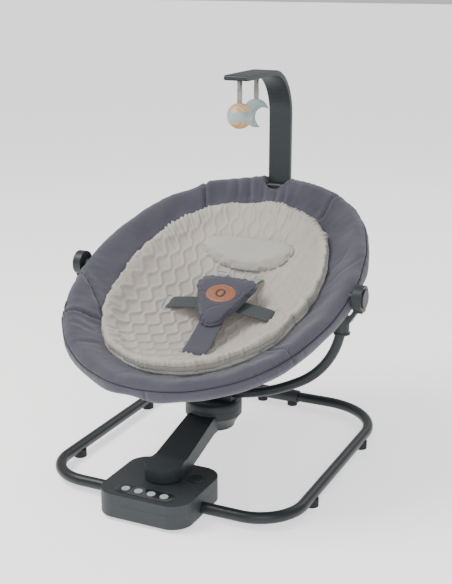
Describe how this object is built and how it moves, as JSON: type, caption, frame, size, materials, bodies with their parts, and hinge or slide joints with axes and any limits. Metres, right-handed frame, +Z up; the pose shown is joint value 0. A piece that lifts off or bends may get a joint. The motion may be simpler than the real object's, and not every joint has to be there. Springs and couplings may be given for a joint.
{
  "type": "baby swing",
  "caption": "Motorised baby swing: padded oval bowl seat on a steel yoke, swivelling hub and swing arm over a tube floor base, with harness and toy bar.",
  "frame": {"origin": "on the floor, under the middle of the seat hoop and of the base", "axes": "+Z up, +Y towards the head end of the seat, +X towards the baby's left"},
  "size_m": [0.71, 0.76, 0.871],
  "materials": {
    "steel_tube": "satin powder coat, dark green-grey",
    "dark_plastic": "satin moulded, fine spark texture",
    "gloss_panel": "gloss",
    "button_plastic": "satin",
    "rubber": "matt",
    "bright_metal": "turned and zinc plated",
    "gear_plastic": "natural acetal",
    "board": "solder mask",
    "cover_fabric": "slate blue-grey twill",
    "liner_fabric": "quilted cotton jersey, warm grey",
    "pillow_fabric": "smooth jersey, light grey-green",
    "dark_webbing": "woven webbing, charcoal",
    "light_webbing": "woven webbing, light grey",
    "badge_leather": "embossed cognac leather",
    "ribbon_fabric": "grosgrain ribbon",
    "wood": "oiled beech",
    "toy_fabric": "short pile felt"
  },
  "bodies": {
    "base": {"base_tube_left": "steel_tube", "base_tube_right": "steel_tube", "base_rear_joint": "dark_plastic", "base_feet": "rubber", "drive_housing_tray": "dark_plastic", "drive_housing_cover": "dark_plastic", "housing_screws": "bright_metal", "control_panel": "gloss_panel", "circuit_board": "board", "speaker": "gloss_panel", "speaker_grille": "gloss_panel", "drive_motor": "bright_metal", "motor_bracket": "bright_metal", "pivot_bearing_lower": "bright_metal", "pivot_bearing_upper": "bright_metal", "dc_inlet": "gloss_panel"},
    "power_button": {"power_button": "button_plastic"},
    "speed_button": {"speed_button": "button_plastic"},
    "timer_button": {"timer_button": "button_plastic"},
    "sound_button": {"sound_button": "button_plastic"},
    "pinion": {"motor_pinion": "gear_plastic", "motor_shaft": "bright_metal"},
    "swing_arm": {"swing_arm": "dark_plastic", "arm_bottom_cover": "dark_plastic", "arm_shaft": "bright_metal", "sector_gear": "gear_plastic", "swivel_bearing": "bright_metal", "hub_bottom_cap": "dark_plastic"},
    "yoke": {"hub_cap": "dark_plastic", "swivel_shaft": "bright_metal", "shaft_clip": "bright_metal", "yoke_tube": "steel_tube", "side_socket_left": "dark_plastic", "side_socket_right": "dark_plastic", "recline_housing_left": "dark_plastic", "recline_housing_right": "dark_plastic", "recline_pins": "bright_metal", "button_washers": "bright_metal"},
    "recline_button_left": {"recline_button_left": "dark_plastic"},
    "recline_button_right": {"recline_button_right": "dark_plastic"},
    "seat": {"seat_hoop": "steel_tube", "hoop_brackets": "dark_plastic", "seat_cover_rim": "cover_fabric", "seat_cover_bowl": "cover_fabric", "seat_liner": "liner_fabric", "head_pillow": "pillow_fabric", "crotch_strap": "dark_webbing", "waist_straps": "dark_webbing", "shoulder_straps": "light_webbing", "crotch_pad": "cover_fabric", "badge": "badge_leather", "buckle": "dark_plastic", "toy_bar_socket": "dark_plastic", "side_label": "dark_webbing"},
    "buckle_button": {"buckle_button": "button_plastic"},
    "toy_bar": {"toy_bar": "dark_plastic"},
    "hanging_ball": {"ball_clip": "ribbon_fabric", "toy_ball": "wood"},
    "hanging_moon": {"moon_clip": "ribbon_fabric", "toy_moon": "toy_fabric"}
  },
  "joints": [
    {"name": "arm_swing", "type": "hinge", "parent": "base", "child": "swing_arm", "pos_m": [0, -0.26, 0.07], "axis": [0, 0, 1], "range_deg": [-12, 12]},
    {"name": "pinion_spin", "type": "hinge", "parent": "base", "child": "pinion", "pos_m": [0, -0.341, 0.025], "axis": [0, 0, 1], "range_deg": [-65, 65]},
    {"name": "seat_swivel", "type": "hinge", "parent": "swing_arm", "child": "yoke", "pos_m": [0, -0.02, 0.13], "axis": [0, 0, 1], "continuous": true},
    {"name": "seat_recline", "type": "hinge", "parent": "yoke", "child": "seat", "pos_m": [0, -0.02, 0.435], "axis": [1, 0, 0], "range_deg": [-14, 0]},
    {"name": "recline_press_left", "type": "slide", "parent": "yoke", "child": "recline_button_left", "axis": [1, 0, 0], "range_m": [0, 0.003], "stiffness_N_per_m": 400, "springref_m": -0.002},
    {"name": "recline_press_right", "type": "slide", "parent": "yoke", "child": "recline_button_right", "axis": [-1, 0, 0], "range_m": [0, 0.003], "stiffness_N_per_m": 400, "springref_m": -0.002},
    {"name": "power_press", "type": "slide", "parent": "base", "child": "power_button", "axis": [0, 0, -1], "range_m": [0, 0.001], "stiffness_N_per_m": 300, "springref_m": -0.001},
    {"name": "speed_press", "type": "slide", "parent": "base", "child": "speed_button", "axis": [0, 0, -1], "range_m": [0, 0.001], "stiffness_N_per_m": 300, "springref_m": -0.001},
    {"name": "timer_press", "type": "slide", "parent": "base", "child": "timer_button", "axis": [0, 0, -1], "range_m": [0, 0.001], "stiffness_N_per_m": 300, "springref_m": -0.001},
    {"name": "sound_press", "type": "slide", "parent": "base", "child": "sound_button", "axis": [0, 0, -1], "range_m": [0, 0.001], "stiffness_N_per_m": 300, "springref_m": -0.001},
    {"name": "buckle_press", "type": "slide", "parent": "seat", "child": "buckle_button", "axis": [0, 0.859, 0.512], "range_m": [0, 0.003], "stiffness_N_per_m": 300, "springref_m": -0.001},
    {"name": "toy_bar_lift", "type": "slide", "parent": "seat", "child": "toy_bar", "axis": [0, 0, 1], "range_m": [0, 0.035]},
    {"name": "ball_sway", "type": "hinge", "parent": "toy_bar", "child": "hanging_ball", "pos_m": [0, 0.11738, 0.853], "axis": [0, 1, 0], "range_deg": [-25, 25]},
    {"name": "moon_sway", "type": "hinge", "parent": "toy_bar", "child": "hanging_moon", "pos_m": [0, 0.20938, 0.853], "axis": [0, 1, 0], "range_deg": [-25, 25]}
  ],
  "couplings": [
    {"joint": "pinion_spin", "follows": "arm_swing", "ratio": -5}
  ]
}
